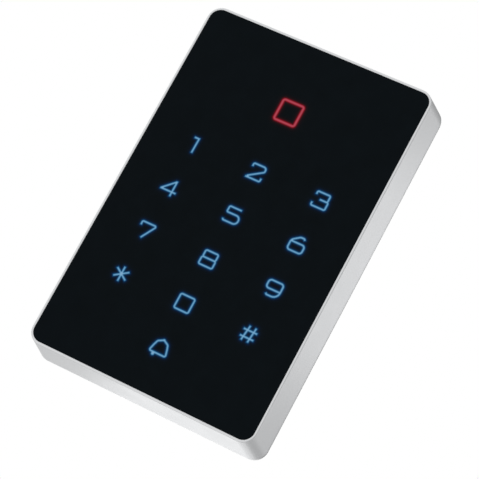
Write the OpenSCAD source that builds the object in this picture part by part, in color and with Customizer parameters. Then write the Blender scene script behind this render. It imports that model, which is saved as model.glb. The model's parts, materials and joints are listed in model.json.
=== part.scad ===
// Keypad access reader: a drafted metal housing with a flush black touch panel, hung on a
// wall bracket. +X is right, the front faces -Y, +Z is up, and the origin is the middle of
// the bracket's wall face. Plane figures are drawn as [x, z] and extruded along Y.

/* [Housing] */
// Width across the widest line, just before the back edge
body_w = 78.4; // [78:0.2:84]
// Height across the widest line
body_h = 120.4; // [118:0.2:130]
// Depth from the back edge to the front face
body_d = 16.6; // [16.6:0.2:20]
// Narrowing of each wall from the widest line to the front
draft = 1.1; // [0.6:0.1:1.3]
// Length of the eased back edge, behind the widest line
edge_len = 1.3; // [0.8:0.1:2]
// How far the eased edge brings each wall in
edge_in = 0.25; // [0.1:0.05:0.4]
// Corner radius at the widest line
back_r = 4.6; // [3.8:0.1:6]
// Width of the metal rim that shows round the panel
rim_w = 0.85; // [0.6:0.05:1.2]
// Gap between the housing's back edge and the wall
wall_gap = 0.2; // [0.1:0.1:0.4]

/* [Touch panel] */
// Thickness of the black panel
panel_t = 2; // [1.6:0.1:2.4]
// Corner radius of the panel
panel_r = 3.5; // [2.5:0.1:4.5]
// Depth of the legend inlays in the panel's face
legend_t = 0.4; // [0.2:0.1:0.8]
// Sideways place of the printed legends
print_x = 0.2; // [-0.5:0.1:0.5]

/* [Keys] */
// Distance between key columns
pitch_x = 21.75; // [19:0.25:21.75]
// Distance between key rows
pitch_z = 15; // [14:0.5:15]
// Height of the first key row above the panel's middle
first_row_z = 15.45; // [14:0.05:16]
// Height of the status window above the panel's middle
status_z = 36.3; // [34:0.1:37]
// Line width of the legends
stroke_w = 0.74; // [0.6:0.02:0.78]
// Outer width of the status window
status_w = 7.8; // [7:0.1:8.5]
// Line width of the status window
status_line = 0.95; // [0.7:0.05:1.2]

/* [Wall mounting] */
// Spacing of the upright pair of wall screws
gang_spacing = 83.5; // [83.5, 80]
// Spacing of the level pair of wall screws
round_box_spacing = 60; // [60, 58]
// Width of the wall screw slots
slot_w = 4.4; // [4:0.1:5]
// End-to-end length of the wall screw slots
slot_l = 8; // [7:0.5:9]
// Height the reader is raised to unhook it
lift = 5; // [4.2:0.1:5.5]
// Bore of the cable grommet
cable_bore = 5.2; // [4:0.1:6]

/* [Hidden] */

eps = 0.01;
arc_steps = 6;
$fn = 48;

// Places along Y, from the front face back to the wall
y_front = -(wall_gap + body_d);
y_panel = y_front + panel_t;
adhesive_t = 0.2;
y_ledge = y_panel + adhesive_t;
film_t = 0.2;
y_film = y_panel + film_t;
diffuser_t = 0.3;
y_diffuser = y_film + diffuser_t;
mask_t = 2;
y_board = y_diffuser + mask_t;
board_t = 1.6;
y_parts = y_board + board_t;
plate_t = 1.2;
hook_space = 3;
y_plate = -plate_t;
y_cover_back = y_plate - hook_space;
cover_t = 2;
y_cover = y_cover_back - cover_t;
seal_t = 0.8;
y_seal = y_cover - seal_t;

// Outlines across the housing
front_w = body_w - 2 * draft;
front_h = body_h - 2 * draft;
panel_w = front_w - 2 * rim_w;
panel_h = front_h - 2 * rim_w;
panel_gap = 0.05;
wall_t = 2.2;
recess_w = body_w - 2 * wall_t;
recess_h = body_h - 2 * wall_t;
recess_r = 2.5;
ledge_w = 2.3;
cavity_w = recess_w - 2 * ledge_w;
cavity_h = recess_h - 2 * ledge_w;
corner_cut = 10;
board_gap = 0.6;
film_gap = 0.7;

// Keys, from the top row down
KEYS = ["1", "2", "3", "4", "5", "6", "7", "8", "9", "star", "0", "hash"];
columns = 3;
bell_z = first_row_z - 4 * pitch_z;
half_w = 2.3;
half_h = 2.36;
ring_r = 0.9;

// Light mask, diffuser and antenna, all round one middle height
stack_z = -3.8;
well = 10;
mask_w = 2 * pitch_x + well + 0.5;
mask_h = 96;
coil_w = mask_w + 4.4;
coil_h = mask_h + 4.4;
coil_band = 1.6;
coil_cut = 5;

// Screws
board_screw_x = cavity_w / 2 - 3.1;
board_screw_z = 46;
boss_r = 2.2;
cover_screw_x = recess_w / 2 - 3.4;
cover_screw_z = recess_h / 2 - 3.4;
cover_screw_r = 1.22;
cover_screw_clear = 1.35;
board_screw_r = 0.9;

// Wall bracket, its hooks and the cover's keepers
plate_margin = 1;
plate_w = recess_w - 2 * plate_margin;
plate_top = recess_h / 2 - plate_margin;
plate_bottom = -recess_h / 2 + lift + 0.7;
hook_x = 20;
hook_rows = [36, -40];
hook_w = 8;
hook_t = 1.2;
hook_reach = 2.5;
hook_lip_t = 1;
hook_lip_h = 3.8;
keeper_gap = 1.5;
keeper_post = 1.5;
keeper_h = 2.75;
rest_gap = 0.05;
window_w = 26;
window_h = 22;
grommet_z = 18;
grommet_r = 5;
flange_r = 6.5;
flange_t = 1.2;
grommet_lip = 0.2;

// Lock screw, down through the top wall into the bracket's tab
lock_y = -2.6;
lock_r = 1.25;
lock_hole_r = 1.35;
tab_hole_r = 1.3;
lock_head_r = 2;
lock_head_h = 1.4;
lock_seal_t = 0.5;
lock_seat_z = body_h / 2 - 2.5;
lock_block_w = 9;
tab_w = 8;
tab_t = 1.4;
tab_z = recess_h / 2 - 4;
lock_end_z = tab_z - 1.4;

// Tamper plunger, pressed by the bracket's ramp and let out as the reader is raised
tamper = [20, -12];
tamper_travel = 1.2;
ramp_slope = tamper_travel / lift;
plunger_r = 1.1;
plunger_hole_r = 1.15;
collar_r = 1.9;
collar_t = 0.5;
y_collar = y_cover - 0.05 - tamper_travel;
y_tip = y_plate - 2.65;
ramp_clear = 0.04;
ramp_w = 6;
ramp_y = y_tip + (plunger_r + ramp_clear) * sqrt(1 + pow(ramp_slope, 2));
switch_w = 7;
switch_h = 2.5;
switch_floor = 0.5;
spring_r = 1.65;
wire_r = 0.18;
spring_turns = 4;

// ---- Plane figures ----

function arc_points(c, r, a0, sweep, steps = arc_steps) =
    [for (i = [0:steps]) c + r * [cos(a0 + sweep * i / steps), sin(a0 + sweep * i / steps)]];

function round_rect(w, h, r) = [
    each arc_points([w / 2 - r, h / 2 - r], r, 0, 90),
    each arc_points([r - w / 2, h / 2 - r], r, 90, 90),
    each arc_points([r - w / 2, r - h / 2], r, 180, 90),
    each arc_points([w / 2 - r, r - h / 2], r, 270, 90)];

function cut_rect(w, h, c) = let (x = w / 2, z = h / 2)
    [[x, z - c], [x - c, z], [c - x, z], [-x, z - c], [-x, c - z], [c - x, -z], [x - c, -z], [x, c - z]];

function unit(v) = v / norm(v);
function plain(p) = [p[0], p[1]];

// Points that round corner b of a line a-b-c, where b is [x, z, radius]
function corner(a, b, c) =
    b[2] == 0 ? [plain(b)] :
    let (
        p = plain(b),
        back = unit(plain(a) - p),
        on = unit(plain(c) - p),
        half = acos(back * on) / 2,
        middle = p + unit(back + on) * b[2] / sin(half),
        start = p + back * b[2] / tan(half) - middle,
        side = cross(-back, on) > 0 ? 1 : -1
    )
    arc_points(middle, b[2], atan2(start[1], start[0]), side * (180 - 2 * half));

function open_line(path) = let (n = len(path) - 1)
    [plain(path[0]), for (i = [1:1:n - 1]) each corner(path[i - 1], path[i], path[i + 1]), plain(path[n])];

function closed_line(path) = let (n = len(path))
    [for (i = [0:n - 1]) each corner(path[(i + n - 1) % n], path[i], path[(i + 1) % n])];

// The point beside p at distance d, to the left of the way a-p-b
function beside(a, p, b, d) =
    let (in = unit(p - a), out = unit(b - p), n = [-in[1], in[0]], m = unit(n + [-out[1], out[0]]))
    p + m * d / (m * n);

function open_side(line, d) = let (n = len(line) - 1) [for (i = [0:n])
    let (a = i == 0 ? 2 * line[0] - line[1] : line[i - 1], b = i == n ? 2 * line[n] - line[n - 1] : line[i + 1])
    beside(a, line[i], b, d)];

function closed_side(line, d) = let (n = len(line)) [for (i = [0:n - 1])
    beside(line[(i + n - 1) % n], line[i], line[(i + 1) % n], d)];

function turned_round(list) = [for (i = [len(list) - 1:-1:0]) list[i]];

module stroke(path) {
    line = open_line(path);
    polygon(concat(open_side(line, stroke_w / 2), turned_round(open_side(line, -stroke_w / 2))));
}

module loop_stroke(path) {
    line = closed_line(path);
    difference() {
        polygon(closed_side(line, -stroke_w / 2));
        polygon(closed_side(line, stroke_w / 2));
    }
}

// A square-cornered ring whose line runs between x0, x1 and z0, z1
module ring(x0, x1, z0, z1, r = ring_r, line = stroke_w) {
    translate([(x0 + x1) / 2, (z0 + z1) / 2])
        difference() {
            polygon(round_rect(x1 - x0 + line, z1 - z0 + line, r));
            polygon(round_rect(x1 - x0 - line, z1 - z0 - line, max(r - line, 0.15)));
        }
}

// Extrudes a plane figure from y0 back to y1
module slab(y0, y1) {
    translate([0, y1, 0])
        rotate([90, 0, 0])
            linear_extrude(y1 - y0)
                children();
}

// A round bar along Y
module bar(x, z, r, y0, y1) {
    translate([x, y1, z])
        rotate([90, 0, 0])
            cylinder(h = y1 - y0, r = r);
}

// A box round [x, z] from y0 to y1
module block(x, z, w, h, y0, y1) {
    translate([x - w / 2, y0, z - h / 2])
        cube([w, y1 - y0, h]);
}

// ---- Legends ----

// Each stroke is a centre line of [x, z, corner radius] about the key's middle
function strokes(key) =
    key == "1" ? [[[-0.84, 2.26, 0], [0.75, 2.26, 0], [0.7, -2.65, 0]]] :
    key == "2" ? [
        [[-1.95, 1.2, 0], [-2, half_h, 0.4], [half_w, half_h, 0.9], [half_w, 0.9, 0.6], [-2.25, -2.1, 0]],
        [[-2.65, -half_h, 0], [2.25, -half_h, 0.4], [half_w, -1.15, 0]]] :
    key == "3" ? [
        [[-2.1, 1.25, 0], [-2.1, half_h, 0.4], [2.1, half_h, 0.45], [2.1, 0.15, 0.45], [-0.5, 0.15, 0]],
        [[1, 0.15, 0], [2.4, 0.15, 0.45], [2.4, -half_h, 0.45], [-2.2, -half_h, 0.4], [-2.2, -1.2, 0]]] :
    key == "4" ? [
        [[1.36, -2.65, 0], [1.36, 2.65, 0]],
        [[1.36, 2.4, 0], [-2.4, -1.15, 0]],
        [[-2.7, -1.15, 0], [2.75, -1.15, 0]]] :
    key == "5" ? [
        [[1.95, half_h, 0], [-2.15, half_h, 0.4], [-2.2, 0.42, 0.4], [2.36, 0.42, 1.3],
            [2.36, -2.33, 1.3], [-2.25, -2.33, 0.4], [-2.3, -1.75, 0]]] :
    key == "6" ? [
        [[1.6, 1.8, 0], [1.25, half_h, 0.4], [0, half_h, 1.2], [-half_w, 0.7, 1.4], [-half_w, -half_h, 0.9],
            [2.4, -half_h, 0.9], [2.4, 0.4, 0.9], [0, 0.4, 0]],
        [[0, 0.4, 0], [-half_w, 0.4, 0]]] :
    key == "7" ? [[[-2.2, 0.95, 0], [-2.25, 2.33, 0.4], [2.6, 2.33, 0.4], [-0.4, -2.65, 0]]] :
    key == "9" ? [
        [[0, -0.35, 0], [-half_w, -0.35, 0.9], [-half_w, 2.3, 0.9], [2.45, 2.3, 0.9], [2.45, -2.35, 2],
            [-1.1, -2.35, 0.4], [-1.55, -1.9, 0]],
        [[0, -0.35, 0], [2.45, -0.35, 0]]] :
    key == "star" ? [
        [[0, 2.5, 0], [0, -2.5, 0]],
        [[-2.15, 1.42, 0], [2.15, -1.42, 0]],
        [[-2.15, -1.42, 0], [2.15, 1.42, 0]]] :
    key == "hash" ? [
        [[-0.72, 2.35, 0], [-1.37, -2.7, 0]],
        [[1.25, 2.35, 0], [0.75, -2.7, 0]],
        [[-2.3, 0.8, 0], [2.35, 0.8, 0]],
        [[-2.4, -1.4, 0], [2.25, -1.4, 0]]] :
    [];

module bell_figure() {
    // Outline, from the lower left corner round to the left side
    loop_stroke([[-2.75, -1.8, 0.45], [2.75, -1.8, 0.45], [2.2, 0.3, 0.9], [1.7, 1.7, 0.9],
        [0, 2.6, 0.9], [-1.7, 1.7, 0.9], [-2.2, 0.3, 0.9]]);
    // Knob on top and clapper below
    polygon(concat(arc_points([0, 2.45], 0.6, 0, 180), [[-0.75, 2.1], [0.75, 2.1]]));
    polygon(concat([[-1.85, -2.1], [-1.85, -2.3]], arc_points([-1.25, -2.35], 0.6, 180, 180), [[-0.65, -2.1]]));
}

module key_figure(key) {
    for (s = strokes(key)) stroke(s);
    if (key == "8") {
        ring(-2.1, 2.15, 0.1, 2.33);
        ring(-half_w, half_w, -2.37, 0.1);
    }
    if (key == "0") ring(-2.38, 2.38, -half_h, half_h);
    if (key == "bell") bell_figure();
}

module at_key(i) {
    translate([print_x + (i % columns - 1) * pitch_x, first_row_z - floor(i / columns) * pitch_z]) children();
}

module at_bell() {
    translate([print_x, bell_z]) children();
}

module at_status() {
    translate([print_x, status_z]) children();
}

module status_figure() {
    line_w = status_w - status_line;
    ring(-line_w / 2, line_w / 2, -line_w / 2, line_w / 2, 1.1, status_line);
}

module legend(i) {
    color("deepskyblue") slab(y_front, y_front + legend_t) at_key(i) key_figure(KEYS[i]);
}

module legend_bell() {
    color("deepskyblue") slab(y_front, y_front + legend_t) at_bell() key_figure("bell");
}

module status_window() {
    color("crimson") slab(y_front, y_front + legend_t) at_status() status_figure();
}

// ---- Housing and front ----

// The outline at the widest line, narrowed by inset a side over a length towards the front or back
module narrowing(inset, length, towards_front) {
    rotate([towards_front ? 90 : -90, 0, 0])
        linear_extrude(length, scale = [1 - 2 * inset / body_w, 1 - 2 * inset / body_h])
            polygon(round_rect(body_w, body_h, back_r));
}

module drafted_shell() {
    translate([0, -wall_gap - edge_len, 0]) {
        narrowing(draft, body_d - edge_len, true);
        narrowing(edge_in, edge_len, false);
    }
}

module housing() {
    color("silver")
        difference() {
            union() {
                difference() {
                    drafted_shell();
                    slab(y_front - 1, y_ledge)
                        polygon(round_rect(panel_w + 2 * panel_gap, panel_h + 2 * panel_gap, panel_r));
                    slab(y_ledge - eps, y_seal + eps) polygon(cut_rect(cavity_w, cavity_h, corner_cut));
                    slab(y_seal, 1) polygon(round_rect(recess_w, recess_h, recess_r));
                }
                board_bosses();
                lock_block();
            }
            for (sx = [-1, 1], sz = [-1, 1])
                bar(sx * cover_screw_x, sz * cover_screw_z, cover_screw_r, y_seal - 5, y_seal + 1);
            for (sx = [-1, 1], z = [-board_screw_z, 0, board_screw_z])
                bar(sx * board_screw_x, z, board_screw_r, y_diffuser - 1, y_board + 1);
            translate([0, lock_y, 0]) {
                cylinder(h = body_h, r = lock_hole_r);
                translate([0, 0, lock_seat_z]) cylinder(h = 10, r = lock_head_r + 0.1);
            }
        }
}

// Short posts inside the side walls that carry the board
module board_bosses() {
    web = cavity_w / 2 - board_screw_x + 0.5;
    for (sx = [-1, 1], z = [-board_screw_z, 0, board_screw_z]) {
        bar(sx * board_screw_x, z, boss_r, y_diffuser, y_board);
        block(sx * (board_screw_x + web / 2), z, web, 2 * boss_r, y_diffuser, y_board);
    }
}

// Thick stretch of the top wall that the lock screw clamps to the bracket's tab
module lock_block() {
    low = tab_z + tab_t + 0.3;
    high = recess_h / 2 + 0.5;
    block(0, (low + high) / 2, lock_block_w, high - low, y_cover_back + 0.1, -wall_gap - 0.1);
}

module touch_panel() {
    color([0.05, 0.06, 0.07])
        difference() {
            slab(y_front, y_panel) polygon(round_rect(panel_w, panel_h, panel_r - panel_gap));
            slab(y_front - 1, y_front + legend_t) {
                for (i = [0:len(KEYS) - 1]) at_key(i) key_figure(KEYS[i]);
                at_bell() key_figure("bell");
                at_status() status_figure();
            }
        }
}

module panel_adhesive() {
    color("dimgray")
        slab(y_panel, y_ledge)
            difference() {
                polygon(round_rect(panel_w - 0.4, panel_h - 0.4, panel_r));
                polygon(cut_rect(cavity_w + 0.4, cavity_h + 0.4, corner_cut));
            }
}

module touch_film() {
    tail_w = 10;
    edge_z = cavity_h / 2 - film_gap;
    tail_y = y_parts + 1.4;
    color("tan") {
        slab(y_panel, y_film) polygon(cut_rect(cavity_w - 2 * film_gap, cavity_h - 2 * film_gap, corner_cut));
        block(0, film_t / 2 - edge_z, tail_w, film_t, y_panel, tail_y);
        block(0, 2 - edge_z, tail_w, 4, tail_y - film_t, tail_y);
    }
}

module diffuser() {
    color("white")
        translate([0, 0, stack_z])
            slab(y_film, y_diffuser) polygon(cut_rect(mask_w - 1, mask_h - 1, coil_cut - 2));
}

module light_mask() {
    color("whitesmoke")
        slab(y_diffuser, y_board)
            difference() {
                translate([0, stack_z]) polygon(cut_rect(mask_w, mask_h, coil_cut - 2));
                for (i = [0:len(KEYS) - 1]) at_key(i) square(well, center = true);
                at_bell() square(well, center = true);
                at_status() square(well, center = true);
            }
}

module antenna_coil() {
    color("peru")
        translate([0, 0, stack_z])
            slab(y_diffuser + 0.2, y_board)
                difference() {
                    polygon(cut_rect(coil_w, coil_h, coil_cut));
                    polygon(cut_rect(coil_w - 2 * coil_band, coil_h - 2 * coil_band, coil_cut - 1));
                }
}

// ---- Board and electronics ----

module main_board() {
    color("darkgreen")
        difference() {
            slab(y_board, y_parts)
                polygon(cut_rect(cavity_w - 2 * board_gap, cavity_h - 4 * board_gap, corner_cut));
            for (sx = [-1, 1], z = [-board_screw_z, 0, board_screw_z])
                bar(sx * board_screw_x, z, board_screw_r + 0.2, y_board - 1, y_parts + 1);
        }
}

module led() {
    square([3, 2.8], center = true);
}

module key_leds() {
    color("lightblue")
        slab(y_board - 0.8, y_board) {
            for (i = [0:len(KEYS) - 1]) at_key(i) led();
            at_bell() led();
        }
}

module status_led() {
    color("mistyrose") slab(y_board - 0.8, y_board) at_status() led();
}

// A flat chip with a row of legs down each side
module chip(x, z, w, h, t, legs) {
    leg_w = 0.4;
    step = h / (legs + 1);
    block(x, z, w, h, y_parts + 0.1, y_parts + t);
    for (sx = [-1, 1], i = [1:legs])
        block(x + sx * (w / 2 + 0.4), z - h / 2 + i * step, 1, leg_w, y_parts, y_parts + 0.5);
}

module film_connector() {
    color("ivory")
        difference() {
            block(0, 4.5 - cavity_h / 2 + film_gap, 14, 4, y_parts, y_parts + 2.2);
            block(0, 3 - cavity_h / 2 + film_gap, 10.4, 3, y_parts + 1.1, y_parts + 1.5);
        }
}

module touch_controller() {
    color("darkslategray") chip(0, -28, 9, 9, 1.4, 8);
}

module microcontroller() {
    color("darkslategray") chip(0, -4, 10, 10, 1.5, 10);
}

module reader_chip() {
    color("darkslategray") chip(-20, 8, 4, 10, 1.6, 8);
}

module voltage_regulator() {
    color("gray") {
        block(20, 36, 6.5, 6, y_parts, y_parts + 2.3);
        block(20, 40, 5.2, 2, y_parts, y_parts + 0.6);
        for (sx = [-1, 1]) block(20 + sx * 2.3, 31.8, 0.8, 2.4, y_parts, y_parts + 0.6);
    }
}

module crystal() {
    color("lightgray") {
        block(-15, -8, 3.8, 7, y_parts, y_parts + 3.4);
        for (sz = [-1, 1]) bar(-15, -8 + sz * 3.5, 1.9, y_parts, y_parts + 3.4);
    }
}

module capacitors() {
    color("slategray")
        for (p = [[22, 22], [15, 25], [-22, -30]]) {
            bar(p[0], p[1], 2.5, y_parts + 0.4, y_parts + 3.9);
            block(p[0], p[1], 5.4, 5.4, y_parts, y_parts + 0.4);
        }
}

// Resistors, small capacitors and transistors of the board
module small_parts() {
    color("sandybrown")
        for (i = [0:5]) {
            block(-9 + 3.6 * i, -13, 1.6, 0.9, y_parts, y_parts + 0.6);
            block(-9 + 3.6 * i, -37, 1.6, 0.9, y_parts, y_parts + 0.6);
            block(-26, 20 - 3 * i, 0.9, 1.6, y_parts, y_parts + 0.6);
        }
}

module buzzer() {
    color([0.12, 0.12, 0.12])
        difference() {
            bar(-20, 38, 6, y_parts, y_parts + 3.2);
            bar(-20, 38, 1, y_parts + 2.4, y_parts + 4);
        }
}

module cable_socket() {
    pins = 8;
    color("ivory")
        difference() {
            block(0, 33, 22, 6, y_parts, y_parts + 3.8);
            block(0, 31, 20, 5, y_parts + 0.8, y_parts + 3);
        }
    color("gold")
        for (i = [0:pins - 1])
            block((i - (pins - 1) / 2) * 2.5, 32.2, 0.6, 3.4, y_parts + 1.6, y_parts + 2.2);
}

// A screw along Y with its head towards the wall
module screw_y(x, z, r, y_end, y_head, head_r, head_h) {
    difference() {
        union() {
            bar(x, z, r, y_end, y_head);
            bar(x, z, head_r, y_head, y_head + head_h);
        }
        translate([x, y_head + head_h + 1, z])
            rotate([90, 0, 0])
                cylinder(h = 1 + head_h / 2, r = head_r / 2, $fn = 6);
    }
}

module board_screws() {
    color("lightsteelblue")
        for (sx = [-1, 1], z = [-board_screw_z, 0, board_screw_z])
            screw_y(sx * board_screw_x, z, board_screw_r, y_diffuser + 0.2, y_parts, 1.8, 1.2);
}

// ---- Tamper switch ----

module tamper_switch() {
    color("dimgray")
        difference() {
            block(tamper[0], tamper[1], switch_w, switch_w, y_parts, y_parts + switch_h);
            bar(tamper[0], tamper[1], 2.4, y_parts + switch_floor, y_parts + switch_h + 1);
        }
}

module tamper_plunger() {
    color("gold") {
        bar(tamper[0], tamper[1], plunger_r, y_parts + switch_floor + 0.2, y_tip);
        bar(tamper[0], tamper[1], collar_r, y_collar - collar_t, y_collar);
        translate([tamper[0], y_tip, tamper[1]]) sphere(r = plunger_r);
    }
}

module tamper_spring() {
    sides = 6;
    rings = 12 * spring_turns;
    y0 = y_parts + switch_floor + wire_r;
    rise = y_collar - collar_t - wire_r - y0;
    points = [for (i = [0:rings], j = [0:sides - 1])
        let (a = 360 * spring_turns * i / rings, b = 360 * j / sides, r = spring_r + wire_r * cos(b))
        [tamper[0] + r * cos(a), y0 + rise * i / rings + wire_r * sin(b), tamper[1] + r * sin(a)]];
    walls = [for (i = [0:rings - 1], j = [0:sides - 1])
        let (k = (j + 1) % sides)
        [i * sides + j, i * sides + k, (i + 1) * sides + k, (i + 1) * sides + j]];
    first = [for (j = [0:sides - 1]) sides - 1 - j];
    last = [for (j = [0:sides - 1]) rings * sides + j];
    color("silver") polyhedron(points, concat(walls, [first, last]));
}

// ---- Back ----

module back_seal() {
    seal_w = 1.6;
    outer_w = recess_w - 0.6;
    outer_h = recess_h - 0.6;
    color("darkorange")
        slab(y_seal, y_cover)
            difference() {
                polygon(cut_rect(outer_w, outer_h, corner_cut + 0.95));
                polygon(cut_rect(outer_w - 2 * seal_w, outer_h - 2 * seal_w, corner_cut));
            }
}

// Bridge on the cover's back that drops behind a hook's lip
module keeper(x, z) {
    low = z + hook_t + rest_gap;
    post_x = hook_w / 2 + keeper_gap;
    lip_back = y_plate - hook_reach + hook_lip_t;
    for (sx = [-1, 1])
        block(x + sx * (post_x + keeper_post / 2), low + keeper_h / 2, keeper_post, keeper_h,
            y_cover_back - eps, y_plate - 0.3);
    block(x, low + keeper_h / 2, 2 * post_x + eps, keeper_h, lip_back + 0.3, y_plate - 0.3);
}

module back_cover() {
    color([0.2, 0.2, 0.21])
        difference() {
            union() {
                slab(y_cover, y_cover_back) polygon(round_rect(recess_w - 0.6, recess_h - 0.6, recess_r));
                for (sx = [-1, 1], z = hook_rows) keeper(sx * hook_x, z);
            }
            for (sx = [-1, 1], sz = [-1, 1])
                bar(sx * cover_screw_x, sz * cover_screw_z, cover_screw_clear, y_cover - 1, 1);
            bar(0, grommet_z, grommet_r, y_cover - 1, 1);
            bar(tamper[0], tamper[1], plunger_hole_r, y_cover - 1, 1);
        }
}

module cover_screws() {
    color("lightsteelblue")
        for (sx = [-1, 1], sz = [-1, 1])
            screw_y(sx * cover_screw_x, sz * cover_screw_z, cover_screw_r, y_seal - 4, y_cover_back, 2.2, 1.3);
}

module cable_grommet() {
    color([0.1, 0.1, 0.1])
        difference() {
            union() {
                bar(0, grommet_z, grommet_r, y_cover, y_cover_back);
                bar(0, grommet_z, flange_r, y_cover - flange_t, y_cover);
                bar(0, grommet_z, flange_r, y_cover_back, y_cover_back + flange_t);
                bar(0, grommet_z, grommet_r, y_cover_back, y_cover_back + flange_t + grommet_lip);
            }
            bar(0, grommet_z, cable_bore / 2, y_cover - flange_t - 1, 1);
        }
}

// ---- Lock screw ----

module lock_screw() {
    head_z = lock_seat_z + lock_seal_t;
    color("lightsteelblue")
        translate([0, lock_y, 0])
            difference() {
                union() {
                    translate([0, 0, lock_end_z]) cylinder(h = head_z - lock_end_z, r = lock_r);
                    translate([0, 0, head_z]) cylinder(h = lock_head_h, r = lock_head_r);
                }
                translate([0, 0, head_z + 0.5]) cylinder(h = lock_head_h, r = 1, $fn = 6);
            }
}

module lock_screw_seal() {
    color([0.1, 0.1, 0.1])
        translate([0, lock_y, lock_seat_z])
            difference() {
                cylinder(h = lock_seal_t, r = lock_head_r - 0.1);
                translate([0, 0, -1]) cylinder(h = 3, r = lock_r + 0.05);
            }
}

// ---- Wall bracket ----

module round_slot(x, z, upright) {
    span = (slot_l - slot_w) / 2;
    dx = upright ? 0 : span;
    dz = upright ? span : 0;
    for (s = [-1, 1]) bar(x + s * dx, z + s * dz, slot_w / 2, y_plate - 1, 1);
    block(x, z, upright ? slot_w : 2 * span, upright ? 2 * span : slot_w, y_plate - 1, 1);
}

module hook(x, z) {
    block(x, z + hook_t / 2, hook_w, hook_t, y_plate - hook_reach, y_plate + eps);
    block(x, z + hook_lip_h / 2, hook_w, hook_lip_h, y_plate - hook_reach, y_plate - hook_reach + hook_lip_t);
}

module wall_bracket() {
    plate_mid = (plate_top + plate_bottom) / 2;
    ramp_end = (y_plate - ramp_y) / ramp_slope;
    ramp_start = -2.5;
    notch = lock_block_w + 2;
    color("gainsboro")
        difference() {
            union() {
                difference() {
                    slab(y_plate, 0)
                        translate([0, plate_mid])
                            polygon(round_rect(plate_w, plate_top - plate_bottom, 2));
                    block(0, tab_z + tab_t + 5, notch, 10, y_plate - 1, 1);
                    block(0, grommet_z, window_w, window_h, y_plate - 1, 1);
                    for (sz = [-1, 1]) round_slot(0, sz * gang_spacing / 2, true);
                    for (sx = [-1, 1]) round_slot(sx * round_box_spacing / 2, 0, false);
                    for (sx = [-1, 1], z = hook_rows)
                        block(sx * hook_x, z - 2.75, hook_w + 1, 5.5, y_plate - 1, 1);
                }
                for (sx = [-1, 1], z = hook_rows) hook(sx * hook_x, z);
                block(0, tab_z + tab_t / 2, tab_w, tab_t, y_cover_back + 0.1, y_plate + eps);
                translate([tamper[0] - ramp_w / 2, 0, tamper[1]])
                    rotate([90, 0, 90])
                        linear_extrude(ramp_w)
                            polygon([[y_plate + eps, ramp_start], [ramp_y + ramp_slope * ramp_start, ramp_start],
                                [y_plate, ramp_end], [y_plate + eps, ramp_end]]);
            }
            translate([0, lock_y, tab_z - 1]) cylinder(h = tab_t + 2, r = tab_hole_r);
        }
}

housing();
touch_panel();
panel_adhesive();
for (i = [0:len(KEYS) - 1]) legend(i);
legend_bell();
status_window();
touch_film();
diffuser();
light_mask();
antenna_coil();
main_board();
key_leds();
status_led();
film_connector();
touch_controller();
microcontroller();
reader_chip();
voltage_regulator();
crystal();
capacitors();
small_parts();
buzzer();
cable_socket();
board_screws();
tamper_switch();
tamper_plunger();
tamper_spring();
back_seal();
back_cover();
cover_screws();
cable_grommet();
lock_screw();
lock_screw_seal();
wall_bracket();
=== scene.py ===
"""Keypad access reader: the looks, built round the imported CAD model, in metres."""
import json
import math

import bmesh
import bpy
import numpy as np
from mathutils import Matrix, Vector, kdtree


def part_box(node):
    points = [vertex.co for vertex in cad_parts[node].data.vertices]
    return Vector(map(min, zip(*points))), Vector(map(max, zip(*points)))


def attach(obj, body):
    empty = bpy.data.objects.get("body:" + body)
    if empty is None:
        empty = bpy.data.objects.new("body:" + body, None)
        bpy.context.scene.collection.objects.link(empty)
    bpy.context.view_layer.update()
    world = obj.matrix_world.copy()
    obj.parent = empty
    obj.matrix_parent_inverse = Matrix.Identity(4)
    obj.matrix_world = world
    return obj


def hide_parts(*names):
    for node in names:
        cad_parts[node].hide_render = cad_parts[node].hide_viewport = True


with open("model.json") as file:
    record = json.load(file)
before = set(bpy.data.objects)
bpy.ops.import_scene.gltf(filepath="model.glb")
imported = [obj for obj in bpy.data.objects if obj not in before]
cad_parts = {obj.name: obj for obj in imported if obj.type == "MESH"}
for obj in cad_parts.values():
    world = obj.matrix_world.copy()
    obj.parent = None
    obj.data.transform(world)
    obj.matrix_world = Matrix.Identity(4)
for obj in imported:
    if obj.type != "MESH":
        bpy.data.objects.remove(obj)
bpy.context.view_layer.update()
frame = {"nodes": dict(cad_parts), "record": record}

MM = 0.001
NODES = frame["nodes"]
LEGENDS = ["legend_" + key for key in (*"1234567890", "star", "hash", "bell")]


# ---- Materials -------------------------------------------------------------------------------

def principled(name, **sockets):
    """A new material, its tree and its Principled shader, with the shader's own sockets set."""
    made = bpy.data.materials.new(name)
    made.use_nodes = True
    tree = made.node_tree
    shader = tree.nodes["Principled BSDF"]
    for socket, value in sockets.items():
        shader.inputs[socket.replace("_", " ")].default_value = value
    return made, tree, shader


def coordinates(tree, stretch=(1, 1, 1)):
    """The object's own coordinates, stretched."""
    source = tree.nodes.new("ShaderNodeTexCoord")
    mapping = tree.nodes.new("ShaderNodeMapping")
    mapping.inputs["Scale"].default_value = stretch
    tree.links.new(source.outputs["Object"], mapping.inputs["Vector"])
    return mapping.outputs["Vector"]


def noise(tree, vector, size, detail=3.0, roughness=0.6):
    """Noise whose features are about size across, in metres."""
    node = tree.nodes.new("ShaderNodeTexNoise")
    node.inputs["Scale"].default_value = 1 / size
    node.inputs["Detail"].default_value = detail
    node.inputs["Roughness"].default_value = roughness
    tree.links.new(vector, node.inputs["Vector"])
    return node.outputs["Fac"]


def between(tree, factor, low, high, start=0.3, stop=0.7):
    """A number that runs from low to high as factor runs from start to stop."""
    node = tree.nodes.new("ShaderNodeMapRange")
    node.inputs["From Min"].default_value = start
    node.inputs["From Max"].default_value = stop
    node.inputs["To Min"].default_value = low
    node.inputs["To Max"].default_value = high
    tree.links.new(factor, node.inputs["Value"])
    return node.outputs["Result"]


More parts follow.
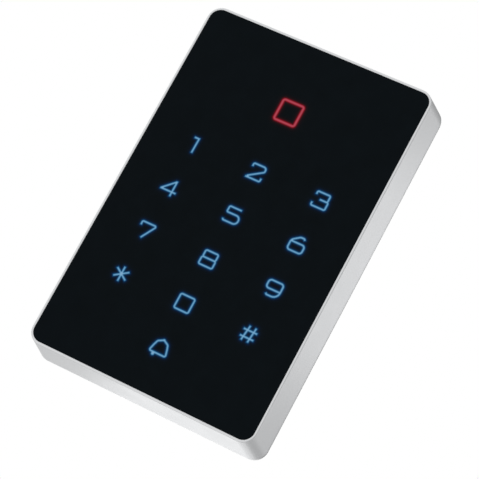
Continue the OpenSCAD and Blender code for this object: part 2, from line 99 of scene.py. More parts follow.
def colours(tree, factor, stops):
    """A colour ramp, with stops as (place, colour)."""
    node = tree.nodes.new("ShaderNodeValToRGB")
    ramp = node.color_ramp
    while len(ramp.elements) < len(stops):
        ramp.elements.new(0.5)
    for element, (place, colour) in zip(ramp.elements, stops):
        element.position = place
        element.color = (*colour, 1)
    tree.links.new(factor, node.inputs["Fac"])
    return node.outputs["Color"]


def bump(tree, shader, height, distance, strength=1.0):
    """Bump of that distance, in metres, on the shader's normal."""
    node = tree.nodes.new("ShaderNodeBump")
    node.inputs["Strength"].default_value = strength
    node.inputs["Distance"].default_value = distance
    tree.links.new(height, node.inputs["Height"])
    tree.links.new(node.outputs["Normal"], shader.inputs["Normal"])


def shade(colour, factor):
    """The colour made lighter or darker by factor."""
    return tuple(min(1.0, c * factor) for c in colour)


def surface(name, colour, grain, relief, roughness, spread=0.12, rough_spread=0.08,
            blotch=0.02, stretch=(1, 1, 1), **sockets):
    """A moulded, cast, drawn or plated finish: fine grain, with broad changes of tone and gloss."""
    made, tree, shader = principled(name, **sockets)
    fine = noise(tree, coordinates(tree, stretch), grain)
    broad = noise(tree, coordinates(tree), blotch, detail=4.0)
    both = tree.nodes.new("ShaderNodeMath")
    both.operation = "MULTIPLY_ADD"
    tree.links.new(fine, both.inputs[0])
    both.inputs[1].default_value = 0.45
    tree.links.new(between(tree, broad, 0.0, 0.55, 0.25, 0.75), both.inputs[2])
    tree.links.new(colours(tree, both.outputs[0], [
        (0.15, shade(colour, 1 - spread)), (0.5, colour), (0.85, shade(colour, 1 + spread))]),
        shader.inputs["Base Color"])
    tree.links.new(between(tree, broad, roughness - rough_spread, roughness + rough_spread),
                   shader.inputs["Roughness"])
    bump(tree, shader, fine, relief)
    return made


def housing_metal():
    """Bead-blasted, satin anodised aluminium."""
    return surface("satin_metal", (0.825, 0.835, 0.848), grain=0.12 * MM, relief=0.004 * MM,
                   roughness=0.36, spread=0.02, rough_spread=0.02, blotch=9 * MM, Metallic=1.0)


def panel_acrylic():
    """Black acrylic, lit from inside beside the legends by the mesh's own glow attribute."""
    made, tree, shader = principled("black_acrylic", Specular_IOR_Level=0.045, Emission_Strength=1.0)
    vector = coordinates(tree)
    haze = noise(tree, vector, 6 * MM, detail=5.0)
    specks = noise(tree, vector, 0.15 * MM, detail=2.0)
    tree.links.new(colours(tree, haze, [(0.3, (0.0016, 0.0036, 0.0051)), (0.7, (0.0022, 0.0046, 0.0065))]),
                   shader.inputs["Base Color"])
    tree.links.new(between(tree, haze, 0.19, 0.21), shader.inputs["Roughness"])
    bump(tree, shader, specks, 0.0008 * MM)
    glow = tree.nodes.new("ShaderNodeAttribute")
    glow.attribute_name = "glow"
    tree.links.new(glow.outputs["Color"], shader.inputs["Emission Color"])
    return made


def lit_legend(name, colour):
    """Translucent ink, lit from behind as the mesh's glow attribute says."""
    made, tree, shader = principled(name, Specular_IOR_Level=0.05, Emission_Strength=1.0)
    vector = coordinates(tree)
    cloud = noise(tree, vector, 2.5 * MM, detail=2.0)
    fine = noise(tree, vector, 0.1 * MM)
    tree.links.new(colours(tree, cloud, [(0.3, shade(colour, 0.85)), (0.7, colour)]),
                   shader.inputs["Base Color"])
    tree.links.new(between(tree, fine, 0.4, 0.5), shader.inputs["Roughness"])
    bump(tree, shader, fine, 0.001 * MM)
    glow = tree.nodes.new("ShaderNodeAttribute")
    glow.attribute_name = "glow"
    tree.links.new(glow.outputs["Color"], shader.inputs["Emission Color"])
    return made


def materials():
    """Every material of the record's slots, by slot."""
    plastic = dict(grain=0.25 * MM, relief=0.02 * MM, blotch=12 * MM)
    metal = dict(grain=0.15 * MM, relief=0.006 * MM, blotch=5 * MM, Metallic=1.0)
    return {
        "housing_metal": housing_metal(),
        "black_panel": panel_acrylic(),
        "blue_legend": lit_legend("blue_light", (0.002, 0.012, 0.025)),
        "red_legend": lit_legend("red_light", (0.02, 0.002, 0.003)),
        "adhesive": surface("adhesive_foam", (0.05, 0.05, 0.052), roughness=0.8, **plastic),
        "film": surface("sensing_film", (0.6, 0.36, 0.1), roughness=0.3, **plastic),
        "milky_plastic": surface("milky_sheet", (0.82, 0.85, 0.87), roughness=0.5, spread=0.03,
                                 **plastic),
        "white_plastic": surface("white_moulding", (0.78, 0.77, 0.73), roughness=0.45, spread=0.04,
                                 **plastic),
        "copper_wire": surface("enamelled_copper", (0.62, 0.22, 0.09), roughness=0.3, **metal),
        "circuit_board": surface("solder_mask", (0.01, 0.13, 0.05), roughness=0.35, **plastic),
        "led": surface("clear_cast", (0.85, 0.8, 0.5), roughness=0.2, **plastic),
        "chip_plastic": surface("moulded_epoxy", (0.02, 0.02, 0.022), roughness=0.55, **plastic),
        "tinned_metal": surface("tinned_metal", (0.72, 0.73, 0.74), roughness=0.3, **metal),
        "black_plastic": surface("black_moulding", (0.018, 0.018, 0.019), roughness=0.5, **plastic),
        "plunger_plastic": surface("natural_acetal", (0.8, 0.76, 0.62), roughness=0.4, spread=0.04,
                                   **plastic),
        "spring_steel": surface("spring_wire", (0.62, 0.62, 0.63), roughness=0.25, **metal),
        "seal_silicone": surface("silicone_cord", (0.5, 0.12, 0.04), roughness=0.6, **plastic),
        "cover_plastic": surface("spark_eroded_plastic", (0.026, 0.027, 0.029), grain=0.3 * MM,
                                 relief=0.05 * MM, blotch=20 * MM, roughness=0.55),
        "screw_steel": surface("passivated_steel", (0.6, 0.61, 0.62), roughness=0.28, **metal),
        "black_rubber": surface("black_rubber", (0.012, 0.012, 0.012), roughness=0.7, **plastic),
        "bracket_steel": surface("zinc_plate", (0.66, 0.675, 0.69), grain=0.3 * MM, relief=0.003 * MM,
                                 blotch=25 * MM, roughness=0.38, spread=0.05, rough_spread=0.025,
                                 stretch=(1, 1, 0.04), Metallic=1.0),
    }


# ---- Meshes ----------------------------------------------------------------------------------

# Facets round a quarter turn of the housing's and panel's corners
CORNER_STEPS = 16


def rounded(half_w, half_h, radius, steps=CORNER_STEPS):
    """A rounded rectangle's points, as (x, z)."""
    points = []
    for quarter in range(4):
        side_x = 1 if quarter in (0, 3) else -1
        side_z = 1 if quarter in (0, 1) else -1
        for step in range(steps + 1):
            turn = math.pi / 2 * (quarter + step / steps)
            points.append((side_x * (half_w - radius) + radius * math.cos(turn),
                           side_z * (half_h - radius) + radius * math.sin(turn)))
    return points


def cut_corners(half_w, half_h, cut):
    """A rectangle with cut corners, with as many points as a rounded one."""
    points = []
    for quarter in range(4):
        side_x = 1 if quarter in (0, 3) else -1
        side_z = 1 if quarter in (0, 1) else -1
        for step in range(CORNER_STEPS + 1):
            share = step / CORNER_STEPS
            if quarter % 2:
                share = 1 - share
            points.append((side_x * (half_w - cut * share), side_z * (half_h - cut * (1 - share))))
    return points


def skin(bm, loops, closed=False):
    """Joins loops of equal length, each (y, points), with faces; the ends are filled unless closed."""
    rows = [[bm.verts.new((x, y, z)) for x, z in points] for y, points in loops]
    pairs = list(zip(rows, rows[1:])) + ([(rows[-1], rows[0])] if closed else [])
    for near, far in pairs:
        for i in range(len(near)):
            j = (i + 1) % len(near)
            bm.faces.new((near[i], near[j], far[j], far[i]))
    if not closed:
        bm.faces.new(rows[0])
        bm.faces.new(rows[-1][::-1])


def prism(bm, outline, low, high):
    """Extrudes a closed outline of (y, z) points from x low to x high."""
    near = [bm.verts.new((low, y, z)) for y, z in outline]
    far = [bm.verts.new((high, y, z)) for y, z in outline]
    for i in range(len(near)):
        j = (i + 1) % len(near)
        bm.faces.new((near[i], near[j], far[j], far[i]))
    bm.faces.new(near[::-1])
    bm.faces.new(far)


def slab(bm, half_w, half_h, radius, x, z, start, stop):
    """A rounded rectangle about (x, z), extruded from y start to y stop."""
    steps = 4 if radius < MM else 12
    points = [(a + x, b + z) for a, b in rounded(half_w, half_h, radius, steps)]
    skin(bm, [(start, points), (stop, points)])


def piece_from(bm, name, sharp=30):
    """A new object from bm, smooth where faces meet at less than sharp degrees."""
    bmesh.ops.recalc_face_normals(bm, faces=bm.faces)
    mesh = bpy.data.meshes.new(name)
    bm.to_mesh(mesh)
    bm.free()
    mesh.shade_smooth()
    mesh.set_sharp_from_angle(angle=math.radians(sharp))
    piece = bpy.data.objects.new(name, mesh)
    bpy.context.scene.collection.objects.link(piece)
    return piece


def applied(piece):
    """Bakes the piece's modifiers into its mesh."""
    graph = bpy.context.evaluated_depsgraph_get()
    made = bpy.data.meshes.new_from_object(piece.evaluated_get(graph))
    piece.modifiers.clear()
    old, piece.data = piece.data, made
    bpy.data.meshes.remove(old)


def rounded_edges(item, width, sharp=35):
    """Adds a bevel of that width where faces meet at more than sharp degrees."""
    edges = item.modifiers.new("edges", "BEVEL")
    edges.limit_method = "ANGLE"
    edges.angle_limit = math.radians(sharp)
    edges.width = width
    edges.segments = 2
    edges.use_clamp_overlap = True


def combine(piece, bm, operation, edge=0.0):
    """A boolean of the piece and the shape in bm, whose own edges are rounded by edge."""
    tool = piece_from(bm, "tool")
    if edge:
        rounded_edges(tool, edge)
    change = piece.modifiers.new(operation, "BOOLEAN")
    change.operation = operation
    change.solver = "EXACT"
    change.object = tool
    applied(piece)
    bpy.data.objects.remove(tool)


def flats_joined(piece):
    """Joins the splits that booleans leave in flat faces."""
    piece.modifiers.new("weld", "WELD").merge_threshold = 1e-6
    joined = piece.modifiers.new("flats", "DECIMATE")
    joined.decimate_type = "DISSOLVE"
    joined.angle_limit = math.radians(1)


def finished(piece, node, body, material):
    """Puts the piece in the place of a CAD node, in the node's material and on its body."""
    piece.data.materials.clear()
    piece.data.materials.append(material)
    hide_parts(node)
    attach(piece, body)


def even_normals(piece, sharp=30):
    """Keeps flat faces flat beside their rounded edges."""
    piece.data.shade_smooth()
    piece.data.set_sharp_from_angle(angle=math.radians(sharp))
    weighted = piece.modifiers.new("even_normals", "WEIGHTED_NORMAL")
    weighted.keep_sharp = True


def soften(node, width):
    """Rounds a CAD node's edges by modifiers, which leave its own mesh as it is."""
    node.modifiers.new("weld", "WELD").merge_threshold = 1e-7
    rounded_edges(node, width)
    node.data.shade_smooth()
    node.modifiers.new("even_normals", "WEIGHTED_NORMAL").keep_sharp = True


def bar_along(bm, axis, centre, radius, start, stop, sides):
    """A round bar from start to stop along axis (1 is Y, 2 is Z), with centre's other two places."""
    rows = []
    for place in (start, stop):
        row = []
        for i in range(sides):
            turn = 2 * math.pi * i / sides
            spot = [centre[0] + radius * math.cos(turn), centre[1] + radius * math.sin(turn)]
            spot.insert(axis, place)
            row.append(bm.verts.new(spot))
        rows.append(row)
    near, far = rows
    for i in range(sides):
        j = (i + 1) % sides
        bm.faces.new((near[i], near[j], far[j], far[i]))
    bm.faces.new(near)
    bm.faces.new(far[::-1])


def box_between(bm, low, high):
    """A box from low to high."""
    size = Vector(high) - Vector(low)
    middle = (Vector(high) + Vector(low)) / 2
    bmesh.ops.create_cube(bm, size=1, matrix=Matrix.Translation(middle) @ Matrix.Diagonal((*size, 1)))


# ---- Places, read from the CAD ----------------------------------------------------------------

SIDES = (-1, 1)

housing_low, housing_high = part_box("housing")
panel_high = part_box("touch_panel")[1]
HALF_W, HALF_H = housing_high.x, housing_high.z
PANEL_W, PANEL_H = panel_high.x, panel_high.z
Y_FRONT, Y_BACK = housing_low.y, housing_high.y
Y_PANEL = panel_high.y
Y_LEDGE = Y_PANEL + 0.2 * MM
Y_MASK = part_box("light_mask")[0].y
Y_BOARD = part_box("main_board")[0].y
Y_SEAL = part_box("back_seal")[0].y
Y_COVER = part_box("back_cover")[0].y

# Metal rim that shows round the panel, its rounded outer edge and its cut inner edge
RIM, RIM_EDGE, RIM_CUT = 0.85 * MM, 0.33 * MM, 0.12 * MM
PANEL_R, PANEL_GAP = 3.45 * MM, 0.05 * MM
# The walls spread by DRAFT towards the widest line, behind which the eased back edge comes in again
DRAFT = HALF_W - PANEL_W - RIM
WIDE_R = 4.6 * MM
EDGE_LEN, EDGE_IN = 1.3 * MM, 0.25 * MM
BACK_CUT = 0.12 * MM
Y_WIDE = Y_BACK - EDGE_LEN
# Recess for the back cover, and the deeper cavity for the board, which has cut corners
RECESS_W, RECESS_H, RECESS_R = HALF_W - 2.2 * MM, HALF_H - 2.2 * MM, 2.5 * MM
RECESS_CUT = 0.2 * MM
CAVITY_W, CAVITY_H, CAVITY_CUT = RECESS_W - 2.3 * MM, RECESS_H - 2.3 * MM, 10 * MM

BOARD_HEAD_R, COVER_HEAD_R = 1.8 * MM, 2.2 * MM
board_screws_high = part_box("board_screws")[1]
BOARD_SCREW_X = board_screws_high.x - BOARD_HEAD_R
BOARD_SCREW_ROWS = [row * (board_screws_high.z - BOARD_HEAD_R) for row in (-1, 0, 1)]
BOARD_SCREW_R, POST_R = 0.9 * MM, 2.2 * MM
cover_screws_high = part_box("cover_screws")[1]
COVER_SCREW_X, COVER_SCREW_Z = cover_screws_high.x - COVER_HEAD_R, cover_screws_high.z - COVER_HEAD_R
COVER_SCREW_R = 1.22 * MM
LOCK_Y, LOCK_SEAT = next(joint["pos_m"][1:] for joint in frame["record"]["behaviour"]["joints"]
                         if joint["name"] == "lock_screw_turn")
LOCK_HOLE_R, LOCK_SEAT_R = 1.35 * MM, 2.1 * MM


# ---- Housing ------------------------------------------------------------------------------------

def wall(y, inset=0.0):
    """The housing's outline at y, brought in by inset."""
    share = max(0.0, (Y_WIDE - y) / (Y_WIDE - Y_FRONT))
    half_w, half_h = HALF_W - DRAFT * share, HALF_H - DRAFT * share
    radius = WIDE_R * half_w / HALF_W
    return rounded(half_w - inset, half_h - inset, radius - inset)


def outside_loops():
    """The housing's outside, from its back edge over the widest line to the rounded front rim."""
    loops = [(Y_BACK, wall(Y_BACK, EDGE_IN + BACK_CUT))]
    for share in (0.92, 0.75, 0.5, 0.25, 0.0):
        loops.append((Y_WIDE + EDGE_LEN * share, wall(Y_WIDE, EDGE_IN * share ** 1.1)))
    for share in (0.08, 0.3, 0.5, 0.7, 0.9):
        y = Y_WIDE + (Y_FRONT + RIM_EDGE - Y_WIDE) * share
        loops.append((y, wall(y)))
    for step in range(7):
        turn = math.pi / 2 * step / 6
        y = Y_FRONT + RIM_EDGE * (1 - math.sin(turn))
        loops.append((y, wall(y, RIM_EDGE * (1 - math.cos(turn)))))
    return loops


def inside_loops():
    """The housing's inside, from the panel's mouth over the ledge and cavity to the cover's recess."""
    mouth_w, mouth_h, mouth_r = PANEL_W + PANEL_GAP, PANEL_H + PANEL_GAP, PANEL_R + PANEL_GAP
    cavity = cut_corners(CAVITY_W, CAVITY_H, CAVITY_CUT)
    recess = rounded(RECESS_W, RECESS_H, RECESS_R)
    opened = rounded(RECESS_W + RECESS_CUT, RECESS_H + RECESS_CUT, RECESS_R + RECESS_CUT)
    return [
        (Y_FRONT, rounded(mouth_w + RIM_CUT, mouth_h + RIM_CUT, mouth_r + RIM_CUT)),
        (Y_FRONT + RIM_CUT, rounded(mouth_w, mouth_h, mouth_r)),
        (Y_LEDGE, rounded(mouth_w, mouth_h, mouth_r)),
        (Y_LEDGE, cavity),
        (Y_SEAL, cavity),
        (Y_SEAL, recess),
        (Y_BACK - RECESS_CUT, recess),
        (Y_BACK, opened),
    ]


def housing_shell():
    """The drafted metal frame."""
    bm = bmesh.new()
    skin(bm, outside_loops() + inside_loops(), closed=True)
    return piece_from(bm, "satin_housing")


def add_posts(piece):
    """The six board posts, each with a web to the side wall."""
    web = CAVITY_W - BOARD_SCREW_X + 0.5 * MM
    for side in SIDES:
        for z in BOARD_SCREW_ROWS:
            x = side * BOARD_SCREW_X
            post = bmesh.new()
            bar_along(post, 1, (x, z), POST_R, Y_MASK, Y_BOARD, sides=28)
            combine(piece, post, "UNION")
            ends = sorted((x, x + side * web))
            depth = POST_R - 0.01 * MM
            rib = bmesh.new()
            box_between(rib, (ends[0], Y_MASK, z - depth), (ends[1], Y_BOARD - 0.01 * MM, z + depth))
            combine(piece, rib, "UNION")


def add_lock_block(piece):
    """The thick stretch of the top wall that the lock screw goes through."""
    half, foot = 4.5 * MM, LOCK_SEAT - 2 * MM
    block = bmesh.new()
    box_between(block, (-half, Y_COVER + 2.1 * MM, foot), (half, Y_BACK - 0.1 * MM, RECESS_H + 0.5 * MM))
    combine(piece, block, "UNION")


def cut_screw_holes(piece):
    """Pilot holes for the cover and board screws, and the lock screw's stepped hole."""
    pilots = bmesh.new()
    for side in SIDES:
        for up in SIDES:
            bar_along(pilots, 1, (side * COVER_SCREW_X, up * COVER_SCREW_Z), COVER_SCREW_R,
                      Y_SEAL - 5 * MM, Y_SEAL + MM, sides=24)
        for z in BOARD_SCREW_ROWS:
            bar_along(pilots, 1, (side * BOARD_SCREW_X, z), BOARD_SCREW_R, Y_MASK - MM, Y_BOARD + MM,
                      sides=20)
    combine(piece, pilots, "DIFFERENCE")
    for radius, start in ((LOCK_HOLE_R, LOCK_SEAT - 8 * MM), (LOCK_SEAT_R, LOCK_SEAT)):
        hole = bmesh.new()
        bar_along(hole, 2, (0, LOCK_Y), radius, start, HALF_H + MM, sides=40)
        combine(piece, hole, "DIFFERENCE")


def build_housing(metal):
    """The housing, with its posts, its lock block and the screws' holes."""
    piece = housing_shell()
    add_lock_block(piece)
    add_posts(piece)
    cut_screw_holes(piece)
    even_normals(piece)
    finished(piece, "housing", "reader", metal)


# ---- Wall bracket -------------------------------------------------------------------------------

# Thickness of the plate and of the tongues bent out of it, its corners and its stamped edges
PLATE, PLATE_R, STAMPED_EDGE = 1.2 * MM, 2 * MM, 0.14 * MM
# How deep the added shapes are rooted in the plate
ROOT = -PLATE + 0.2 * MM
HOOK_X, HOOK_ROWS = 20 * MM, (36 * MM, -40 * MM)
HOOK_W, HOOK_REACH, HOOK_LIP, LIP_T = 8 * MM, 2.5 * MM, 3.8 * MM, 1.0 * MM
HOOK_WINDOW = (4.5 * MM, 2.75 * MM, 0.5 * MM)
WALL_SLOT_R, WALL_SLOT = 2.2 * MM, 4 * MM
GANG_Z, ROUND_BOX_X = 41.75 * MM, 30 * MM
CABLE_WINDOW = (13 * MM, 11 * MM, MM)
NOTCH = (5.5 * MM, 5 * MM, 0.5 * MM)
TAB_W, TAB_LOW, TAB_HIGH, TAB_HOLE_R = 8 * MM, 54 * MM, 55.4 * MM, 1.3 * MM
# The ramp's face is at Y_RAMP beside the plunger's axis and starts RAMP_FOOT below it
RAMP_SLOPE, RAMP_W, RAMP_FOOT, Y_RAMP = 0.24, 6 * MM, -2.5 * MM, -2.68 * MM


def hook_profile(z):
    """A bent tongue with an upturned lip, seen from the side, as (y, z)."""
    tip = -PLATE - HOOK_REACH
    bend, crease, inner, top = 0.9 * MM, 0.35 * MM, tip + LIP_T, z + PLATE
    points = [(ROOT, z), (ROOT, top)]
    for step in range(5):
        turn = math.pi / 2 * step / 4
        points.append((inner + crease * (1 - math.sin(turn)), top + crease * (1 - math.cos(turn))))
    points += [(inner, z + HOOK_LIP), (tip, z + HOOK_LIP)]
    for step in range(7):
        turn = math.pi / 2 * step / 6
        points.append((tip + bend * (1 - math.cos(turn)), z + bend * (1 - math.sin(turn))))
    return points


def cut_plate(piece):
    """The lock notch, the cable window, the wall screw slots and the windows the hooks leave."""
    through = (-PLATE - MM, MM)
    grommet_low, grommet_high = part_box("cable_grommet")
    holes = bmesh.new()
    slab(holes, *NOTCH, 0, TAB_HIGH + NOTCH[1], *through)
    slab(holes, *CABLE_WINDOW, 0, (grommet_low.z + grommet_high.z) / 2, *through)
    for side in SIDES:
        slab(holes, WALL_SLOT_R, WALL_SLOT, WALL_SLOT_R, 0, side * GANG_Z, *through)
        slab(holes, WALL_SLOT, WALL_SLOT_R, WALL_SLOT_R, side * ROUND_BOX_X, 0, *through)
        for z in HOOK_ROWS:
            slab(holes, *HOOK_WINDOW, side * HOOK_X, z - HOOK_WINDOW[1], *through)
    combine(piece, holes, "DIFFERENCE")


def add_hooks(piece):
    """The four hooks that the back cover's keepers hang on."""
    for side in SIDES:
        for z in HOOK_ROWS:
            hook = bmesh.new()
            prism(hook, hook_profile(z), side * HOOK_X - HOOK_W / 2, side * HOOK_X + HOOK_W / 2)
            combine(piece, hook, "UNION", STAMPED_EDGE)


def add_lock_tab(piece, reach):
    """The bent tab that the lock screw turns into."""
    tab = bmesh.new()
    box_between(tab, (-TAB_W / 2, reach, TAB_LOW), (TAB_W / 2, ROOT, TAB_HIGH))
    combine(piece, tab, "UNION", STAMPED_EDGE)
    hole = bmesh.new()
    bar_along(hole, 2, (0, LOCK_Y), TAB_HOLE_R, TAB_LOW - MM, TAB_HIGH + MM, sides=28)
    combine(piece, hole, "DIFFERENCE")


def add_ramp(piece):
    """The wedge that presses the tamper plunger while the reader hangs in place."""
    low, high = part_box("tamper_plunger")
    x, z = (low.x + high.x) / 2, (low.z + high.z) / 2
    foot, top = z + RAMP_FOOT, z + (-PLATE - Y_RAMP) / RAMP_SLOPE
    outline = [(ROOT, foot), (Y_RAMP + RAMP_SLOPE * RAMP_FOOT, foot), (-PLATE, top), (ROOT, top)]
    ramp = bmesh.new()
    prism(ramp, outline, x - RAMP_W / 2, x + RAMP_W / 2)
    combine(piece, ramp, "UNION")


def build_bracket(steel):
    """The stamped wall plate, with its slots, windows, hooks, lock tab and tamper ramp."""
    low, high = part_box("wall_bracket")
    plate = bmesh.new()
    slab(plate, high.x, (high.z - low.z) / 2, PLATE_R, 0, (low.z + high.z) / 2, -PLATE, 0)
    piece = piece_from(plate, "zinc_bracket")
    cut_plate(piece)
    flats_joined(piece)
    rounded_edges(piece, STAMPED_EDGE)
    applied(piece)
    add_hooks(piece)
    add_lock_tab(piece, low.y)
    add_ramp(piece)
    even_normals(piece)
    finished(piece, "wall_bracket", "bracket", steel)


# ---- Touch panel and its glow -------------------------------------------------------------------

def grid_lines(low, high, spans, fine, coarse):
    """Lines from low to high, fine apart inside the spans and coarse apart elsewhere."""
    lines, place = [], low
    while place < high:
        inside = any(start <= place < stop for start, stop in spans)
        nearest = min([start for start, stop in spans if start > place] + [high])
        place += fine if inside else min(coarse, max(nearest - place, fine))
        lines.append(place)
    return [line for line in lines if line < high - fine / 2]


# Light as rows of red, green and blue, by distance into a stroke in mm: negative is beside it
DEPTHS = (-2.4, -1.4, -0.8, -0.4, -0.15, 0.0, 0.12, 0.3, 0.45)
GLOW = {
    "blue": ((0, 0, 0, 0, 0, 0.002, 0.024, 0.155, 0.2),
             (0, 0.0002, 0.001, 0.0035, 0.012, 0.05, 0.155, 0.35, 0.39),
             (0, 0.0008, 0.004, 0.018, 0.052, 0.14, 0.31, 0.54, 0.58)),
    "red": ((0, 0.0005, 0.003, 0.012, 0.05, 0.15, 0.28, 0.38, 0.41),
            (0, 0, 0, 0, 0, 0.001, 0.01, 0.045, 0.066),
            (0, 0, 0, 0.0002, 0.002, 0.006, 0.022, 0.07, 0.095)),
}
LIT = LEGENDS + ["status_window"]
# Points no further behind the panel's front count as on it
NEAR_FACE = 0.05 * MM
LEGEND_GRID, PANEL_GRID, COARSE_GRID, OUTLINE_STEP = 0.2 * MM, 0.3 * MM, 4 * MM, 0.06 * MM


def outline_tree(name):
    """Points along the front outline of a legend, to measure distances from, and its clean mesh."""
    bm = bmesh.new()
    bm.from_mesh(NODES[name].data)
    bmesh.ops.remove_doubles(bm, verts=bm.verts, dist=1e-7)
    bm.normal_update()
    places = []
    for edge in bm.edges:
        facing = [face for face in edge.link_faces if face.normal.y < -0.9]
        if len(facing) != 1 or max(v.co.y for v in edge.verts) > Y_FRONT + NEAR_FACE:
            continue
        start, stop = (v.co for v in edge.verts)
        count = max(1, math.ceil((stop - start).length / OUTLINE_STEP))
        places += [start.lerp(stop, (i + 0.5) / count) for i in range(count)]
    tree = kdtree.KDTree(len(places))
    for i, place in enumerate(places):
        tree.insert(place, i)
    tree.balance()
    return tree, bm


def lamp_of(name):
    """The light behind a legend."""
    return GLOW["red" if name == "status_window" else "blue"]


def set_glow(mesh, light):
    """Writes the light, as rows of RGB, to the mesh's glow attribute."""
    rows = np.ones((len(light), 4), np.float32)
    rows[:, :3] = light
    glow = mesh.attributes.new("glow", "FLOAT_COLOR", "POINT")
    glow.data.foreach_set("color", rows.ravel())


def cut_finely(bm, axis, lines):
    """Cuts bm along lines across axis."""
    normal = [0, 0, 0]
    normal[axis] = 1
    for line in lines:
        place = [0, 0, 0]
        place[axis] = line
        bmesh.ops.bisect_plane(bm, geom=bm.verts[:] + bm.edges[:] + bm.faces[:], dist=1e-7,
                               plane_co=place, plane_no=normal)


def build_legend(name, ink):
    """One inlay, divided finely, bright along the middle of its strokes."""
    tree, bm = outline_tree(name)
    low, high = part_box(name)
    for axis in (0, 2):
        cut_finely(bm, axis, grid_lines(low[axis], high[axis], [], LEGEND_GRID, LEGEND_GRID))
    piece = piece_from(bm, "lit_" + name, sharp=20)
    light = [[np.interp(tree.find(v.co)[2] / MM, DEPTHS, band) for band in lamp_of(name)]
             for v in piece.data.vertices]
    set_glow(piece.data, light)
    finished(piece, name, "reader", ink)


def glow_beside(vertices):
    """The light round the legends at each of the panel's vertices."""
    light = np.zeros((len(vertices), 3))
    reach = -DEPTHS[0] * MM
    for name in LIT:
        tree, bm = outline_tree(name)
        bm.free()
        low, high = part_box(name)
        for i, vertex in enumerate(vertices):
            x, y, z = vertex.co
            if y > Y_FRONT + NEAR_FACE or not low.x - reach < x < high.x + reach:
                continue
            if low.z - reach < z < high.z + reach:
                depth = -tree.find(vertex.co)[2] / MM
                light[i] += [np.interp(depth, DEPTHS, band) for band in lamp_of(name)]
    return light


PANEL_EDGE = 0.15 * MM
# How far out and how far back the rounded edge of the panel goes, as shares of PANEL_EDGE
PANEL_EDGE_STEPS = ((0.7, 0.08), (1.0, 0.4))


def panel_rim(bm):
    """Carries the face's edge round the panel's rounded edge and back to the panel's back."""
    steps = [(out, Y_FRONT + PANEL_EDGE * back) for out, back in PANEL_EDGE_STEPS] + [(1.0, Y_PANEL)]
    rim = [edge for edge in bm.edges if edge.is_boundary]
    core_w, core_h = PANEL_W - PANEL_R, PANEL_H - PANEL_R
    for out, y in steps:
        made = bmesh.ops.extrude_edge_only(bm, edges=rim)["geom"]
        rim = [item for item in made if isinstance(item, bmesh.types.BMEdge)]
        for vert in {v for edge in rim for v in edge.verts}:
            x, z = vert.co.x, vert.co.z
            core = Vector((max(-core_w, min(core_w, x)), 0, max(-core_h, min(core_h, z))))
            outward = (Vector((x, 0, z)) - core).normalized()
            vert.co = core + outward * (PANEL_R - PANEL_EDGE * (1 - out)) + Vector((0, y, 0))
    bmesh.ops.contextual_create(bm, geom=rim)


def panel_slab():
    """The panel, finely divided near the legends so that it can carry their glow."""
    bm = bmesh.new()
    outline = rounded(PANEL_W - PANEL_EDGE, PANEL_H - PANEL_EDGE, PANEL_R - PANEL_EDGE)
    bm.faces.new([bm.verts.new((x, Y_FRONT, z)) for x, z in outline])
    near = 2 * MM
    boxes = [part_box(name) for name in LIT]
    for axis, half in ((0, PANEL_W), (2, PANEL_H)):
        spans = [(low[axis] - near, high[axis] + near) for low, high in boxes]
        cut_finely(bm, axis, grid_lines(-half, half, spans, PANEL_GRID, COARSE_GRID))
    panel_rim(bm)
    return piece_from(bm, "touch_face")


def pockets():
    """The legends' shapes, carried out past the panel's face."""
    bm = bmesh.new()
    for name in LIT:
        bm.from_mesh(NODES[name].data)
    bmesh.ops.remove_doubles(bm, verts=bm.verts, dist=1e-7)
    for vert in bm.verts:
        if vert.co.y < Y_FRONT + NEAR_FACE:
            vert.co.y = Y_FRONT - 0.5 * MM
    return bm


def build_panel(acrylic):
    """The flush panel, with a pocket for each legend and their glow round them."""
    piece = panel_slab()
    combine(piece, pockets(), "DIFFERENCE")
    set_glow(piece.data, glow_beside(piece.data.vertices))
    even_normals(piece)
    finished(piece, "touch_panel", "reader", acrylic)


# ---- Stage, light and camera ---------------------------------------------------------------------

def build_floor():
    """A wide pale floor, well below the hanging reader."""
    bm = bmesh.new()
    bmesh.ops.create_grid(bm, x_segments=24, y_segments=24, size=12)
    floor = piece_from(bm, "floor")
    floor.location.z = -0.8
    floor.data.materials.append(surface("pale_floor", (0.86, 0.86, 0.86), grain=0.004, relief=0.0002,
                                        roughness=0.8, spread=0.01, blotch=0.8,
                                        Emission_Color=(1, 1, 1, 1), Emission_Strength=0.22))
    floor.visible_glossy = False


FIELD = 0.5
# Aim, angle where the panel is full, angle where it has faded out, and what it adds
SOFT_PANELS = [
    ((-0.32, -0.92, 0.22), 25, 75, 0.3),
    ((-0.3, -0.3, -0.9), 25, 65, 0.25),
    ((-0.3, 0.25, 0.92), 20, 60, 0.3),
    ((-0.6, 0.75, -0.1), 10, 40, 0.28),
    ((-0.92, 0.3, 0.2), 15, 45, 0.5),
    ((0.0, 0.98, 0.18), 8, 30, -0.58),
    ((0.48, 0.85, 0.22), 5, 30, 0.26),
]
# Place, what it faces, width and height, and the light it gives off
SOFT_BOXES = [
    ((0.19, 0.301, 0.085), (0.0385, -0.008, 0.0), 0.12, 0.12, 0.46),
    ((-0.03, 0.3, -0.175), (0.0, -0.008, -0.06), 0.2, 0.14, 0.58),
]


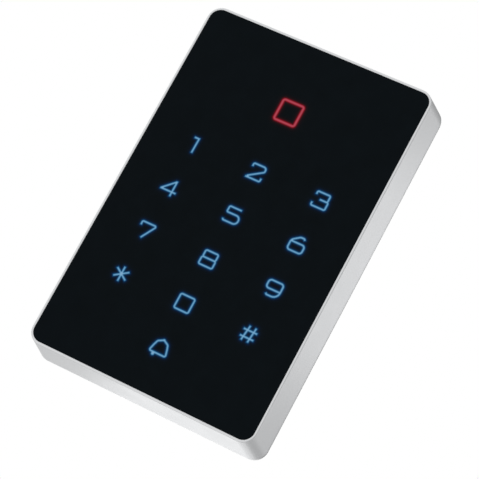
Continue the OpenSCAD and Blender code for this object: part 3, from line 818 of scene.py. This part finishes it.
def soft_panel(tree, direction, aim, inner, outer, value):
    """The light of one broad panel, fading from its inner to its outer angle round its aim."""
    dot = tree.nodes.new("ShaderNodeVectorMath")
    dot.operation = "DOT_PRODUCT"
    tree.links.new(direction, dot.inputs[0])
    dot.inputs[1].default_value = Vector(aim).normalized()
    fall = tree.nodes.new("ShaderNodeMapRange")
    fall.interpolation_type = "SMOOTHSTEP"
    fall.inputs["From Min"].default_value = math.cos(math.radians(outer))
    fall.inputs["From Max"].default_value = math.cos(math.radians(inner))
    fall.inputs["To Min"].default_value = 0
    fall.inputs["To Max"].default_value = value
    tree.links.new(dot.outputs["Value"], fall.inputs["Value"])
    return fall.outputs["Result"]


def build_world():
    """A soft white studio: an even field with broad soft panels, and plain white behind the object."""
    world = bpy.data.worlds.new("studio")
    bpy.context.scene.world = world
    world.use_nodes = True
    tree = world.node_tree
    tree.nodes.clear()
    direction = tree.nodes.new("ShaderNodeTexCoord").outputs["Generated"]
    total = None
    for panel in SOFT_PANELS:
        add = tree.nodes.new("ShaderNodeMath")
        add.operation = "ADD"
        if total is None:
            add.inputs[0].default_value = FIELD
        else:
            tree.links.new(total, add.inputs[0])
        tree.links.new(soft_panel(tree, direction, *panel), add.inputs[1])
        total = add.outputs[0]
    light = tree.nodes.new("ShaderNodeBackground")
    plain = tree.nodes.new("ShaderNodeBackground")
    path = tree.nodes.new("ShaderNodeLightPath")
    pick = tree.nodes.new("ShaderNodeMixShader")
    out = tree.nodes.new("ShaderNodeOutputWorld")
    for background in (light, plain):
        background.inputs["Color"].default_value = (1, 1, 1, 1)
    tree.links.new(total, light.inputs["Strength"])
    tree.links.new(path.outputs["Is Camera Ray"], pick.inputs["Fac"])
    tree.links.new(light.outputs[0], pick.inputs[1])
    tree.links.new(plain.outputs[0], pick.inputs[2])
    tree.links.new(pick.outputs[0], out.inputs["Surface"])


def build_boxes():
    """Small soft boxes behind the object, which the walls reflect."""
    for i, (place, aim, width, height, radiance) in enumerate(SOFT_BOXES):
        data = bpy.data.lights.new("soft_box_%d" % i, "AREA")
        data.shape = "RECTANGLE"
        data.size, data.size_y = width, height
        data.energy = radiance * math.pi * width * height
        box = bpy.data.objects.new(data.name, data)
        bpy.context.scene.collection.objects.link(box)
        box.location = place
        box.rotation_mode = "QUATERNION"
        box.rotation_quaternion = (Vector(aim) - Vector(place)).to_track_quat("-Z", "Y")
        box.visible_camera = False


def build_camera():
    """The front seen from below and to the right, with the camera turned about its own axis."""
    camera = bpy.data.objects.new("camera", bpy.data.cameras.new("camera"))
    bpy.context.scene.collection.objects.link(camera)
    camera.data.lens = 157.2
    camera.data.sensor_width = 36
    camera.data.clip_start, camera.data.clip_end = 0.01, 50
    right = Vector((0.8643, 0.1852, 0.4674))
    up = Vector((-0.3913, -0.3359, 0.8567))
    place = Vector((0.1992752, Y_FRONT - 0.5663658, -0.138957))
    turn = Matrix((right, up, right.cross(up))).transposed()
    camera.matrix_world = Matrix.Translation(place) @ turn.to_4x4()
    bpy.context.scene.camera = camera


# Edge rounding of the CAD nodes: those that show by name, and all the others
INNER_EDGE = 0.06 * MM
SOFT_EDGES = {"back_cover": 0.15 * MM, "cable_grommet": 0.3 * MM,
              "lock_screw": 0.12 * MM, "cover_screws": 0.15 * MM}


def main():
    """Dresses every CAD node, builds the pieces that replace some of them, and sets the studio up."""
    finish = materials()
    for part in frame["record"]["subparts"]:
        node = NODES[part["node"]]
        node.data.materials.clear()
        node.data.materials.append(finish[part["material_slot"]])
        soften(node, SOFT_EDGES.get(part["node"], INNER_EDGE))
    build_housing(finish["housing_metal"])
    build_panel(finish["black_panel"])
    build_bracket(finish["bracket_steel"])
    for name in LIT:
        slot = "red_legend" if name == "status_window" else "blue_legend"
        build_legend(name, finish[slot])
    build_floor()
    build_world()
    build_boxes()
    build_camera()
    bpy.context.scene.view_settings.view_transform = "Standard"


main()
